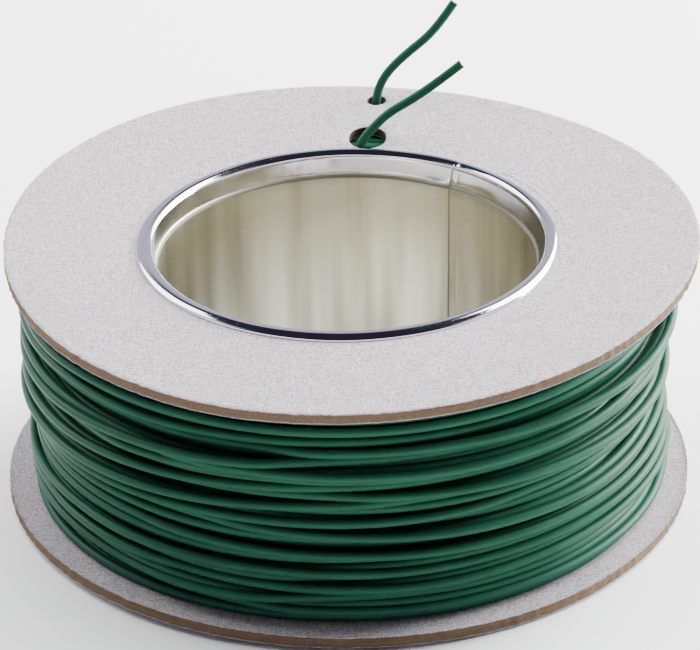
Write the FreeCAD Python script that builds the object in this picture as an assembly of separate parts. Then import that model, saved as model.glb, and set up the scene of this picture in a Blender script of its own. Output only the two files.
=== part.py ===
"""A full reel of single-core wire: two laminated board flanges on a tinplate core whose
ends are expanded and curled over them, the winding, and the wire's two free ends.

Units are millimetres. The origin is the centre of the bottom rim's resting face, and +Z is
the reel's axis. Each sub-part is written to parts/NODE.step.
"""
import FreeCAD, Part
import math
import os

Vector = FreeCAD.Vector
AXIS = Vector(0, 0, 1)

# Flanges: a greyboard disc with a paper liner pasted on each face.
flange_radius = 100.0
board_thickness = 2.3
liner_thickness = 0.2
traverse = 69.6             # clear width between the two flanges

# Core: one rolled tinplate sheet, lapped along its side seam on the winding's side.
core_bore_radius = 54.8     # inside of the straight wall
sheet_thickness = 0.3
seam_overlap = 3.4
seam_azimuth = 54.8         # degrees from +X

# Core ends: expanded at a sloping ledge, passed through the flange and curled over it.
expansion = 1.1             # how much larger the radius is above the ledge
ledge_height = 0.7
ledge_depth = 4.75          # from the flange's outer face down to the ledge's upper edge
rim_rise = 1.6              # height of the curled rim above the flange's outer face
rim_land = 2.0              # flat crown of the rim, on which the reel stands
hub_clearance = 0.05        # between the expanded core and the flange's centre hole

# Winding: the outer shape that all the turns fill together.
winding_margin = 5.0        # from the flanges' edge in to the outermost turns
winding_gap = 0.1           # to the flanges and to the core

# Wire.
wire_diameter = 2.7
conductor_diameter = 1.1

# Holes in the top flange that the wire's two ends come up through.
outer_hole_centre = (8.8, 91.6)
outer_hole_slack = 3.2      # how much wider the round hole is than the wire
inner_hole_centre = (6.5, 69.0)
inner_hole_width = 11.2     # along X
inner_hole_length = 13.0    # along Y

# Free ends: the points of each route, as (x, y, height above the winding's top face).
outer_tail_route = [
    (9.3, 90.9, 0.0), (9.7, 91.6, 4.7), (10.8, 92.7, 9.5), (13.8, 93.8, 14.1),
    (19.4, 95.0, 19.1), (25.6, 96.3, 23.7), (30.2, 97.5, 28.7), (34.0, 98.7, 34.0)]
inner_tail_route = [
    (3.5, 65.5, 0.0), (4.9, 65.9, 3.5), (8.2, 66.9, 7.2), (13.2, 68.1, 11.8),
    (20.1, 69.1, 15.4), (27.9, 70.3, 20.4), (35.3, 71.7, 25.8)]
arc_share = 0.45            # share of the shorter run that each arc takes up
start_extension = 2.0       # extra tube below the winding's top face, trimmed off again

# Heights that follow from the sizes above.
flange_thickness = board_thickness + 2 * liner_thickness
bottom_face = rim_rise
bottom_inner_face = bottom_face + flange_thickness
top_inner_face = bottom_inner_face + traverse
top_face = top_inner_face + flange_thickness
winding_top = top_inner_face - winding_gap
winding_bottom = bottom_inner_face + winding_gap
middle = (bottom_face + top_face) / 2

# Radii that follow from the sizes above.
winding_radius = flange_radius - winding_margin
outer_hole_radius = (wire_diameter + outer_hole_slack) / 2
expanded_radius = core_bore_radius + expansion
hub_radius = expanded_radius + sheet_thickness + hub_clearance


def ring(inner_radius, outer_radius, low, high):
    """A flat ring about the reel's axis between two heights."""
    height = high - low
    disc = Part.makeCylinder(outer_radius, height, Vector(0, 0, low))
    return disc.cut(Part.makeCylinder(inner_radius, height, Vector(0, 0, low)))


def oval_prism(centre, width, length, low, high):
    """An upright prism with a round-ended outline, longer along Y than it is wide."""
    x, y = centre
    radius = width / 2
    half_straight = (length - width) / 2
    near = Vector(x, y - half_straight, low)
    far = Vector(x, y + half_straight, low)
    side = Vector(radius, 0, 0)
    outline = Part.Wire([
        Part.LineSegment(near + side, far + side).toShape(),
        Part.Arc(far + side, far + Vector(0, radius, 0), far - side).toShape(),
        Part.LineSegment(far - side, near - side).toShape(),
        Part.Arc(near - side, near - Vector(0, radius, 0), near + side).toShape()])
    return Part.Face(outline).extrude(Vector(0, 0, high - low))


def tail_holes(low, high):
    """The two holes for the wire's ends, as prisms that reach past both heights."""
    x, y = outer_hole_centre
    reach = flange_thickness
    outer = Part.makeCylinder(outer_hole_radius, high - low + 2 * reach, Vector(x, y, low - reach))
    inner = oval_prism(inner_hole_centre, inner_hole_width, inner_hole_length, low - reach, high + reach)
    return outer.fuse(inner)


def flange_layers(side, low):
    """The liner, board and liner of one flange, from its lower face upwards."""
    names = ["inner_liner", "board", "outer_liner"]
    if side == "bottom":
        names.reverse()
    layers = {}
    for name in names:
        high = low + (board_thickness if name == "board" else liner_thickness)
        layer = ring(hub_radius, flange_radius, low, high)
        if side == "top":
            layer = layer.cut(tail_holes(low, high))
        layers[f"{side}_flange_{name}"] = layer
        low = high
    return layers


def core_end_edges(side, radius, offset):
    """One contour of the core's top or bottom end, from the straight wall out to the rim's edge.

    The bore's contour has an offset of 0 and the winding's contour one sheet thickness, which
    moves the ledge's corners along the axis and makes the two roll arcs smaller.
    """
    face = top_face if side > 0 else bottom_face
    ledge_angle = math.atan2(expansion, ledge_height)
    shift = offset * math.tan(ledge_angle / 2)
    wide = radius + expansion
    roll = rim_rise - offset
    inner_centre = expanded_radius + rim_rise
    outer_centre = inner_centre + rim_land
    slant = roll * math.sqrt(0.5)

    def at(r, depth):
        return Vector(r, 0, face - side * depth)

    return [
        Part.LineSegment(Vector(radius, 0, middle), at(radius, ledge_depth + ledge_height + shift)),
        Part.LineSegment(at(radius, ledge_depth + ledge_height + shift), at(wide, ledge_depth + shift)),
        Part.LineSegment(at(wide, ledge_depth + shift), at(wide, 0)),
        Part.Arc(at(wide, 0), at(inner_centre - slant, -slant), at(inner_centre, -roll)),
        Part.LineSegment(at(inner_centre, -roll), at(outer_centre, -roll)),
        Part.Arc(at(outer_centre, -roll), at(outer_centre + slant, -slant), at(outer_centre + roll, 0))]


def core_half(side):
    """The top or bottom half of the core's wall, turned about the axis from its profile."""
    bore_edges = core_end_edges(side, core_bore_radius, 0.0)
    back_edges = core_end_edges(side, core_bore_radius + sheet_thickness, sheet_thickness)
    raw_edge = Part.LineSegment(bore_edges[-1].EndPoint, back_edges[-1].EndPoint)
    cut_edge = Part.LineSegment(back_edges[0].StartPoint, bore_edges[0].StartPoint)
    edges = [edge.toShape() for edge in bore_edges + [raw_edge] + back_edges + [cut_edge]]
    profile = Part.Wire(Part.sortEdges(edges)[0])
    return Part.Face(profile).revolve(Vector(0, 0, 0), AXIS, 360)


def seam_lap():
    """The sheet's overlapping edge along the side seam, on the winding's side of the wall."""
    margin = ledge_depth + ledge_height + sheet_thickness
    low = bottom_face + margin
    high = top_face - margin
    inner = core_bore_radius + sheet_thickness / 2
    outer = core_bore_radius + 2 * sheet_thickness
    corners = [Vector(inner, 0, low), Vector(outer, 0, low), Vector(outer, 0, high), Vector(inner, 0, high)]
    section = Part.Face(Part.makePolygon(corners + corners[:1]))
    sweep_angle = math.degrees(seam_overlap / core_bore_radius)
    lap = section.revolve(Vector(0, 0, 0), AXIS, sweep_angle)
    lap.rotate(Vector(0, 0, 0), AXIS, seam_azimuth - sweep_angle / 2)
    return lap


def core():
    """The whole core: its two halves and the seam's lap, as one sheet."""
    return core_half(1).fuse([core_half(-1), seam_lap()]).removeSplitter()


def winding():
    """The closed outer shape of all the turns, stepped clear of the core's expanded ends."""
    wall = core_bore_radius + 2 * sheet_thickness + winding_gap
    end_wall = expanded_radius + sheet_thickness + winding_gap
    step = ledge_depth + ledge_height + sheet_thickness + winding_gap
    low_step = bottom_face + step
    high_step = top_face - step
    corners = [
        Vector(end_wall, 0, winding_bottom), Vector(winding_radius, 0, winding_bottom),
        Vector(winding_radius, 0, winding_top), Vector(end_wall, 0, winding_top),
        Vector(end_wall, 0, high_step), Vector(wall, 0, high_step),
        Vector(wall, 0, low_step), Vector(end_wall, 0, low_step)]
    section = Part.Face(Part.makePolygon(corners + corners[:1]))
    return section.revolve(Vector(0, 0, 0), AXIS, 360)


def rounded_path(points):
    """Straight runs joined by tangent arcs, with the arcs' radii and the path's length."""
    edges = []
    radii = []
    start = points[0]
    for before, corner, after in zip(points, points[1:], points[2:]):
        back = before - corner
        ahead = after - corner
        setback = arc_share * min(back.Length, ahead.Length)
        half_turn = (math.pi - back.getAngle(ahead)) / 2
        back.normalize()
        ahead.normalize()
        radius = setback / math.tan(half_turn)
        inwards = (back + ahead).normalize()
        crown = corner + inwards * (radius / math.cos(half_turn) - radius)
        enter = corner + back * setback
        leave = corner + ahead * setback
        edges.append(Part.LineSegment(start, enter).toShape())
        edges.append(Part.Arc(enter, crown, leave).toShape())
        radii.append(radius)
        start = leave
    edges.append(Part.LineSegment(start, points[-1]).toShape())
    path = Part.Wire(edges)
    return path, radii, path.Length


def round_sweep(path, start, direction, diameter):
    """A solid round bar of one diameter along a path."""
    section = Part.Wire(Part.Circle(start, direction, diameter / 2).toShape())
    return path.makePipeShell([section], True, False)


def tail(name, route):
    """One free end of the wire: its insulation and the conductor inside it."""
    points = [Vector(x, y, winding_top + rise) for x, y, rise in route]
    first_run = (points[1] - points[0]).normalize()
    points[0] = points[0] - first_run * start_extension
    path, radii, length = rounded_path(points)
    whole = round_sweep(path, points[0], first_run, wire_diameter)
    conductor = round_sweep(path, points[0], first_run, conductor_diameter)
    share = whole.Volume / (math.pi * wire_diameter ** 2 / 4 * length)
    print(f"{name}: length {length:.1f}, volume over section times length {share:.4f}")
    print(f"{name}: arc radii " + ", ".join(f"{radius:.1f}" for radius in radii))

    size = 4 * wire_diameter + 2 * start_extension
    corner = Vector(points[0].x - size / 2, points[0].y - size / 2, winding_top - size)
    below = Part.makeBox(size, size, size, corner)
    return {
        f"{name}_tail_insulation": whole.cut(conductor).cut(below),
        f"{name}_tail_conductor": conductor.cut(below)}


def main():
    """Build every node and write its STEP file."""
    nodes = {}
    nodes.update(flange_layers("bottom", bottom_face))
    nodes.update(flange_layers("top", top_inner_face))
    nodes["core_barrel"] = core()
    nodes["wire_winding"] = winding()
    nodes.update(tail("outer", outer_tail_route))
    nodes.update(tail("inner", inner_tail_route))
    os.makedirs("parts", exist_ok=True)
    for name, shape in nodes.items():
        shape.exportStep(f"parts/{name}.step")
        print(f"{name}: valid {shape.isValid()}, solids {len(shape.Solids)}, volume {shape.Volume:.0f}")


main()
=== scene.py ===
"""The looks of a full reel of insulated wire, built around its fixed frame.

The reel is two laminated board flanges on a tinplate core with curled rims, the wire wound
between them, and the wire's two free ends. Lengths are in metres, and the frame's +Z is the
reel's axis. The free ends are splines, and every other new piece is a surface worked out
with numpy.
"""

import math

import bpy
import numpy as np
from bpy.props import FloatProperty, FloatVectorProperty, IntProperty, PointerProperty
from mathutils import Matrix, Vector


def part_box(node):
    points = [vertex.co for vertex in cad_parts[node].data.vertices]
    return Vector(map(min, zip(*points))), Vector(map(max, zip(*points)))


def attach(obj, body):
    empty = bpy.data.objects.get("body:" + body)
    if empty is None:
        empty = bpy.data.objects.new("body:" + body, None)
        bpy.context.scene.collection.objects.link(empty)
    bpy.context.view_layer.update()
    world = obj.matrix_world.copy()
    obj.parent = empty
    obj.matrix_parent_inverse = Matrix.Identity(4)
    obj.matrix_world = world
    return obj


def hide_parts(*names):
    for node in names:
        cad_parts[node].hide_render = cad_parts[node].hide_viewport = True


bl_info = {
    "name": "Wire reel",
    "version": (1, 0, 0),
    "blender": (4, 5, 0),
    "location": "3D View > Sidebar > Wire Reel",
    "description": "Builds a reel of insulated wire with board flanges and a tinplate core",
    "category": "Add Mesh",
}

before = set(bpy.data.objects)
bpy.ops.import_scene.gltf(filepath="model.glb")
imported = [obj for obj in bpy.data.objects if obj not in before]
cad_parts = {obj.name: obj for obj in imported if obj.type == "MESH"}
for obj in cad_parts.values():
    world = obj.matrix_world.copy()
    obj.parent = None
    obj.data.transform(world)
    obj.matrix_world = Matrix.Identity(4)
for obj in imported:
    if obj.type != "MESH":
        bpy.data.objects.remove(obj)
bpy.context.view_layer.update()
MM = 0.001

# Places that the frame gives.
BOTTOM_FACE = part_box("bottom_flange_outer_liner")[0][2]
BOTTOM_INNER_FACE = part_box("bottom_flange_inner_liner")[1][2]
TOP_INNER_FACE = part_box("top_flange_inner_liner")[0][2]
TOP_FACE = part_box("top_flange_outer_liner")[1][2]
LINER = TOP_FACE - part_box("top_flange_outer_liner")[0][2]
FLANGE_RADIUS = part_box("bottom_flange_board")[1][0]
RIM_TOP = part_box("core_barrel")[1][2]
RIM_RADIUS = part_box("core_barrel")[1][0]
WINDING_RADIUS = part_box("wire_winding")[1][0]
WINDING_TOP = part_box("wire_winding")[1][2]
MIDDLE = (BOTTOM_FACE + TOP_FACE) / 2

# The routes of the wire's two free ends, in millimetres above the winding's top face.
OUTER_TAIL_ROUTE = [
    (9.3, 90.9, 0.0), (9.7, 91.6, 4.7), (10.8, 92.7, 9.5), (13.8, 93.8, 14.1),
    (19.4, 95.0, 19.1), (25.6, 96.3, 23.7), (30.2, 97.5, 28.7), (34.0, 98.7, 34.0)]
INNER_TAIL_ROUTE = [
    (3.5, 65.5, 0.0), (4.9, 65.9, 3.5), (8.2, 66.9, 7.2), (13.2, 68.1, 11.8),
    (20.1, 69.1, 15.4), (27.9, 70.3, 20.4), (35.3, 71.7, 25.8)]

# The two holes in the top flange: centre x and y, radius, and half of the straight sides' length.
OUTER_HOLE = (8.8 * MM, 91.6 * MM, 2.95 * MM, 0.0)
INNER_HOLE = (6.5 * MM, 69.0 * MM, 5.6 * MM, 0.9 * MM)

# How the board has warped: height in millimetres as a sum of waves round the edge, the first
# number being the constant and then a cosine and a sine for one, two and three waves.
TOP_WARP = (2.06, 0.08, 2.44, 1.04, -1.20, 0.21, 0.08)
BOTTOM_WARP = (-0.04, -0.29, 0.09, 0.06, 0.25, 0.18, -0.03)
WARP_START = 60 * MM
TOP_OFFSET = 1.3 * MM       # how far each edge is off the core's axis, along +X
BOTTOM_OFFSET = -0.8 * MM
WINDING_OFFSET = -0.7 * MM


# ---------------------------------------------------------------------------------------
# Settings
# ---------------------------------------------------------------------------------------

class ReelWire(bpy.types.PropertyGroup):
    """Sizes and colours of the wire and of the way it is wound."""
    diameter: FloatProperty(
        name="Diameter", description="Outside of the insulation", default=2.7 * MM, unit="LENGTH")
    conductor: FloatProperty(
        name="Conductor", description="Outside of the bundle of strands", default=1.1 * MM, unit="LENGTH")
    pitch: FloatProperty(
        name="Pitch", description="How far the winding guide moves in one turn",
        default=2.95 * MM, unit="LENGTH")
    wander: FloatProperty(
        name="Wander", description="How far the guide strays from an even pitch",
        default=0.5 * MM, unit="LENGTH")
    stiffness: FloatProperty(
        name="Stiffness", description="How strongly the wire resists sideways bends", default=60000.0, min=0)
    pressing: FloatProperty(
        name="Pressing", description="How far the turns above press a covered turn even", default=0.8,
        min=0, max=1)
    seed: IntProperty(
        name="Seed", description="Chooses which way the guide strays", default=11, min=0)
    colour: FloatVectorProperty(
        name="Insulation", description="Colour of the insulation", subtype="COLOR", size=3,
        default=(0.0095, 0.070, 0.040), min=0, max=1)
    metal: FloatVectorProperty(
        name="Strands", description="Colour of the conductor", subtype="COLOR", size=3,
        default=(0.83, 0.42, 0.26), min=0, max=1)


class ReelFlanges(bpy.types.PropertyGroup):
    """Sizes and colours of the two board flanges."""
    droop: FloatProperty(
        name="Edge droop", description="How far punching bent the paper down at an edge",
        default=0.22 * MM, unit="LENGTH")
    raggedness: FloatProperty(
        name="Raggedness", description="How uneven the cut edge is", default=0.10 * MM, unit="LENGTH")
    fibres: IntProperty(
        name="Fibres", description="Loose fibres along each cut edge", default=90, min=0)
    paper: FloatVectorProperty(
        name="Liner", description="Colour of the paper", subtype="COLOR", size=3,
        default=(0.352, 0.322, 0.342), min=0, max=1)
    board: FloatVectorProperty(
        name="Board", description="Colour of the cut board", subtype="COLOR", size=3,
        default=(0.135, 0.088, 0.054), min=0, max=1)


class ReelCore(bpy.types.PropertyGroup):
    """Sizes and colour of the tinplate core."""
    bore: FloatProperty(
        name="Bore radius", description="Inside of the straight wall", default=54.8 * MM, unit="LENGTH")
    sheet: FloatProperty(
        name="Sheet", description="Thickness of the tinplate", default=0.3 * MM, unit="LENGTH")
    seam: FloatProperty(
        name="Seam", description="Where the sheet's inner end lies", default=math.radians(56.5),
        subtype="ANGLE")
    dents: FloatProperty(
        name="Dents", description="Depth of the creases that forming left below the rims",
        default=0.45 * MM, unit="LENGTH")
    colour: FloatVectorProperty(
        name="Tinplate", description="Colour of the bare metal", subtype="COLOR", size=3,
        default=(0.500, 0.475, 0.375), min=0, max=1)


# ---------------------------------------------------------------------------------------
# Meshes from arrays
# ---------------------------------------------------------------------------------------

def grid_quads(rows, columns, wrap=True):
    """The corner numbers of every cell between rows x columns points, numbered row by row.

    Each cell is its own point, the next point of the row, and the same two one row on. With
    wrap, the last point of a row is joined to its first.
    """
    row = np.arange(rows - 1)[:, None] * columns
    column = np.arange(columns if wrap else columns - 1)[None, :]
    beside = (column + 1) % columns
    return np.stack([row + column, row + beside, row + columns + beside, row + columns + column],
                    axis=-1).reshape(-1, 4)


def piece(name, points, quads, material, stands_for=(), polygons=()):
    """A mesh object from arrays of points, smooth quads and a few larger flat polygons."""
    mesh = bpy.data.meshes.new(name)
    corners = np.concatenate([np.ravel(quads)] + [np.asarray(p) for p in polygons]).astype(np.int32)
    sizes = np.concatenate([np.full(len(quads), 4), [len(p) for p in polygons]]).astype(np.int32)
    starts = np.concatenate([[0], np.cumsum(sizes)[:-1]]).astype(np.int32)
    mesh.vertices.add(len(points))
    mesh.vertices.foreach_set("co", np.ascontiguousarray(points, dtype=np.float32).ravel())
    mesh.loops.add(len(corners))
    mesh.loops.foreach_set("vertex_index", corners)
    mesh.polygons.add(len(sizes))
    mesh.polygons.foreach_set("loop_start", starts)
    mesh.update(calc_edges=True)
    mesh.shade_smooth()
    mesh.polygons.foreach_set("use_smooth", np.arange(len(sizes)) < len(quads))
    mesh.materials.append(material)
    made = bpy.data.objects.new(name, mesh)
    bpy.context.scene.collection.objects.link(made)
    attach(made, "root")
    if stands_for:
        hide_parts(*stands_for)
    return made


def waves(angle, seed, counts, amplitude):
    """A smooth closed irregular line: cosines with the given whole numbers of waves per turn,
    random phases and equal shares of the amplitude."""
    random = np.random.default_rng(seed)
    counts = np.asarray(counts)
    phases = random.uniform(0, 2 * math.pi, len(counts))
    total = np.cos(np.asarray(angle)[..., None] * counts + phases).sum(axis=-1)
    return amplitude * total / math.sqrt(len(counts))


def bump(x, middle, width):
    """A bell that is 1 at the middle and falls to about a third at one width from it."""
    return np.exp(-((x - middle) / width) ** 2)


def angle_from(angle, middle):
    """How far an angle is past another, between minus half a turn and half a turn."""
    return (angle - middle + math.pi) % (2 * math.pi) - math.pi


def tube(path, radius, sides, outwards):
    """Points and quads of a round tube along a path of points.

    Each ring's first axis is the given outward direction, made square to the path's own
    direction, and its second is the cross product of the two. A second ring stands close to
    each end, a small share of the first stretch away, so that the shading is even up to there.
    """
    near_end = 0.02
    second_ring = path[:1] + near_end * (path[1:2] - path[:1])
    last_ring_but_one = path[-1:] - near_end * (path[-1:] - path[-2:-1])
    path = np.concatenate([path[:1], second_ring, path[1:-1], last_ring_but_one, path[-1:]])
    outwards = np.concatenate([outwards[:1], outwards[:1], outwards[1:-1], outwards[-1:], outwards[-1:]])
    along = np.gradient(path, axis=0)
    along /= np.linalg.norm(along, axis=1, keepdims=True)
    first = outwards - along * (outwards * along).sum(axis=1, keepdims=True)
    first /= np.linalg.norm(first, axis=1, keepdims=True)
    second = np.cross(along, first)
    turn = np.arange(sides) / sides * 2 * math.pi
    ring = np.cos(turn)[None, :, None] * first[:, None] + np.sin(turn)[None, :, None] * second[:, None]
    points = path[:, None] + radius * ring
    caps = [np.arange(sides)[::-1], (len(path) - 1) * sides + np.arange(sides)]
    return points.reshape(-1, 3), grid_quads(len(path), sides), caps


def joined(shells):
    """Several shells, each its points, quads and caps, as the arrays of one mesh."""
    firsts = np.cumsum([0] + [len(points) for points, _, _ in shells[:-1]])
    points = np.concatenate([shell[0] for shell in shells])
    quads = np.concatenate([shell[1] + first for shell, first in zip(shells, firsts)])
    caps = [cap + first for shell, first in zip(shells, firsts) for cap in shell[2]]
    return points, quads, caps


# ---------------------------------------------------------------------------------------
# Materials
# ---------------------------------------------------------------------------------------

FLOAT = "NodeSocketFloat"
VECTOR = "NodeSocketVector"


class Nodes:
    """A short way to add nodes to a tree and to link or set their inputs."""

    def __init__(self, tree):
        self.tree = tree

    def add(self, kind, inputs=None, **settings):
        node = self.tree.nodes.new(kind)
        for name, value in settings.items():
            setattr(node, name, value)
        for name, value in (inputs or {}).items():
            if isinstance(value, bpy.types.NodeSocket):
                self.tree.links.new(value, node.inputs[name])
            else:
                node.inputs[name].default_value = value
        return node

    def maths(self, operation, *values):
        return self.add("ShaderNodeMath", dict(enumerate(values)), operation=operation).outputs[0]

    def mix(self, factor, first, second):
        node = self.add("ShaderNodeMix", data_type="RGBA")
        for socket, value in ((node.inputs[0], factor), (node.inputs[6], first), (node.inputs[7], second)):
            if isinstance(value, bpy.types.NodeSocket):
                self.tree.links.new(value, socket)
            else:
                socket.default_value = value
        return node.outputs[2]

    def spread(self, value, low, high, to_low=0.0, to_high=1.0):
        return self.add("ShaderNodeMapRange", {
            "Value": value, "From Min": low, "From Max": high,
            "To Min": to_low, "To Max": to_high}).outputs[0]

    def noise(self, vector, scale, detail=2.0, roughness=0.5):
        return self.add("ShaderNodeTexNoise", {
            "Vector": vector, "Scale": scale, "Detail": detail, "Roughness": roughness}).outputs[0]

    def stretched(self, vector, scale):
        return self.add("ShaderNodeMapping", {"Vector": vector, "Scale": scale}).outputs[0]

    def relief(self, height, strength, distance):
        return self.add("ShaderNodeBump", {
            "Height": height, "Strength": strength, "Distance": distance}).outputs[0]


def group(name, inputs, outputs, build):
    """A shader node group, built once: build gets its nodes and inputs and returns its outputs."""
    found = bpy.data.node_groups.get(name)
    if found:
        return found
    tree = bpy.data.node_groups.new(name, "ShaderNodeTree")
    for label, kind, default in inputs:
        socket = tree.interface.new_socket(label, in_out="INPUT", socket_type=kind)
        if default is not None:
            socket.default_value = default
    for label, kind in outputs:
        tree.interface.new_socket(label, in_out="OUTPUT", socket_type=kind)
    nodes = Nodes(tree)
    entry = nodes.add("NodeGroupInput")
    results = build(nodes, entry.outputs)
    leave = nodes.add("NodeGroupOutput")
    for label, _ in outputs:
        tree.links.new(results[label], leave.inputs[label])
    return tree


def fibre_group():
    """Matted fibres: fine speckle, threads in two directions and slow clouds, as a mask and a height."""
    def build(nodes, given):
        per_metre = nodes.maths("DIVIDE", 1.0, given["Fibre Size"])
        unit = nodes.add("ShaderNodeVectorMath", {0: given["Vector"], "Scale": per_metre},
                         operation="SCALE").outputs[0]
        speckle = nodes.noise(unit, 1.0, 3.0, 0.6)
        along = nodes.noise(nodes.stretched(unit, (0.16, 1.3, 1.0)), 1.0, 2.0, 0.5)
        across = nodes.noise(nodes.stretched(unit, (1.3, 0.16, 1.0)), 1.0, 2.0, 0.5)
        threads = nodes.maths("MAXIMUM", along, across)
        clouds = nodes.noise(unit, 0.045, 3.0, 0.6)
        height = nodes.maths("ADD", nodes.maths("MULTIPLY", threads, 0.6),
                             nodes.maths("MULTIPLY", speckle, 0.4))
        return {"Speckle": speckle, "Threads": threads, "Clouds": clouds, "Height": height}
    return group("Matted fibres", [("Vector", VECTOR, None), ("Fibre Size", FLOAT, 0.0005)],
                 [(mask, FLOAT) for mask in ("Speckle", "Threads", "Clouds", "Height")], build)


def handling_group():
    """Marks of handling: faint scuffs and dull patches, as two masks."""
    def build(nodes, given):
        place = given["Vector"]
        patches = nodes.noise(place, given["Patch Scale"], 3.0, 0.55)
        scuffs = nodes.noise(nodes.stretched(place, (1.0, 1.0, 6.0)), given["Scuff Scale"], 4.0, 0.7)
        return {"Patches": nodes.spread(patches, 0.35, 0.65), "Scuffs": nodes.spread(scuffs, 0.55, 0.75)}
    return group("Handling marks", [("Vector", VECTOR, None), ("Patch Scale", FLOAT, 40.0),
                                    ("Scuff Scale", FLOAT, 600.0)],
                 [("Patches", FLOAT), ("Scuffs", FLOAT)], build)


def start_material(name, shader):
    """A material with one Principled shader, its nodes, and the Object coordinates."""
    material = bpy.data.materials.get(name) or bpy.data.materials.new(name)
    material.use_nodes = True
    tree = material.node_tree
    tree.nodes.clear()
    nodes = Nodes(tree)
    output = nodes.add("ShaderNodeOutputMaterial")
    surface = nodes.add("ShaderNodeBsdfPrincipled", shader)
    tree.links.new(surface.outputs[0], output.inputs["Surface"])
    place = nodes.add("ShaderNodeTexCoord").outputs["Object"]
    return material, nodes, surface, place


def connect(nodes, shader, **sources):
    """Links sources to the shader's inputs, with spaces for the underscores in their names."""
    for name, source in sources.items():
        nodes.tree.links.new(source, shader.inputs[name.replace("_", " ")])


def shade(colour, factor, alpha=1.0):
    """A colour with each channel times a factor, or times its own factor."""
    factors = factor if isinstance(factor, tuple) else (factor,) * 3
    return tuple(min(1.0, c * f) for c, f in zip(colour, factors)) + (alpha,)


def liner_material():
    """Pale grey recycled paper: coarse crossing fibres, pink and green tints and soft clouds."""
    colour = tuple(bpy.context.scene.reel_flanges.paper)
    material, nodes, surface, place = start_material(
        "Grey liner paper", {"IOR": 1.45, "Specular IOR Level": 0.2})
    fibres = nodes.add("ShaderNodeGroup", {"Vector": place, "Fibre Size": 0.75 * MM}, node_tree=fibre_group())
    grain = nodes.noise(place, 1500.0, 1.0, 0.6)
    weave = nodes.maths("ADD", nodes.maths("MULTIPLY", grain, 0.6),
                        nodes.maths("MULTIPLY", fibres.outputs["Threads"], 0.4))
    grey = nodes.mix(nodes.spread(weave, 0.43, 0.60), shade(colour, 0.56), shade(colour, 1.48))
    tinted = nodes.mix(nodes.spread(nodes.noise(place, 900.0, 1.0), 0.42, 0.58),
                       shade(colour, (0.84, 1.05, 0.90)), shade(colour, (1.16, 0.97, 1.10)))
    mixed = nodes.mix(0.22, grey, tinted)
    clouded = nodes.mix(nodes.spread(fibres.outputs["Clouds"], 0.3, 0.7, 0.0, 0.35), mixed,
                        shade(colour, (0.93, 0.90, 0.88)))
    specks = nodes.spread(nodes.noise(place, 520.0, 1.0, 0.3), 0.74, 0.78, 0.0, 0.35)
    speckled = nodes.mix(specks, clouded, shade(colour, (0.55, 0.50, 0.47)))
    height = nodes.maths("ADD", fibres.outputs["Height"], nodes.maths("MULTIPLY", grain, 0.6))
    relief = nodes.relief(height, 0.8, 0.16 * MM)
    rough = nodes.spread(fibres.outputs["Speckle"], 0.3, 0.7, 0.80, 0.95)
    connect(nodes, surface, Base_Color=speckled, Roughness=rough, Normal=relief)
    return material


def board_material():
    """Cut greyboard: brown layers on edge, torn fibres, and pale and dark flecks. Away from the outer
    edge, in the wire holes, it is darkened with painted shade."""
    colour = tuple(bpy.context.scene.reel_flanges.board)
    material, nodes, surface, place = start_material("Cut greyboard", {"Specular IOR Level": 0.2})
    fibres = nodes.add("ShaderNodeGroup", {"Vector": place, "Fibre Size": 0.45 * MM}, node_tree=fibre_group())
    layers = nodes.noise(nodes.stretched(place, (60.0, 60.0, 2600.0)), 1.0, 3.0, 0.6)
    brown = nodes.mix(nodes.spread(layers, 0.35, 0.65),
                      shade(colour, 0.74), shade(colour, (1.30, 1.34, 1.40)))
    flecked = nodes.mix(nodes.spread(fibres.outputs["Speckle"], 0.38, 0.66),
                        shade(brown_base(colour), 0.66), shade(colour, 1.45))
    mixed = nodes.mix(0.5, brown, flecked)
    flecks = nodes.spread(nodes.noise(place, 1500.0, 2.0), 0.60, 0.74, 0.0, 0.35)
    pale = nodes.mix(flecks, mixed, shade(colour, (2.0, 2.2, 2.5)))
    parts = nodes.add("ShaderNodeSeparateXYZ", {0: place}).outputs
    outwards = nodes.maths("SQRT", nodes.maths("ADD", nodes.maths("MULTIPLY", parts["X"], parts["X"]),
                                               nodes.maths("MULTIPLY", parts["Y"], parts["Y"])))
    # Painted shade: within 96.2 mm of the axis, which takes in the wire holes, the board's colour is darkened
    # where the holes' walls lie in shadow.
    painted_hole_shade = nodes.spread(outwards, 0.0962, 0.0978, 0.75, 0.0)
    shaded = nodes.mix(painted_hole_shade, pale, shade(colour, (0.22, 0.20, 0.18)))
    height = nodes.maths("ADD", fibres.outputs["Height"], nodes.maths("MULTIPLY", layers, 0.8))
    relief = nodes.relief(height, 0.9, 0.25 * MM)
    rough = nodes.spread(fibres.outputs["Speckle"], 0.3, 0.7, 0.85, 1.0)
    connect(nodes, surface, Base_Color=shaded, Roughness=rough, Normal=relief)
    return material


def brown_base(colour):
    """The board's colour, a little redder, for its darkest flecks."""
    return (colour[0] * 1.04, colour[1] * 0.96, colour[2] * 0.92)


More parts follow.
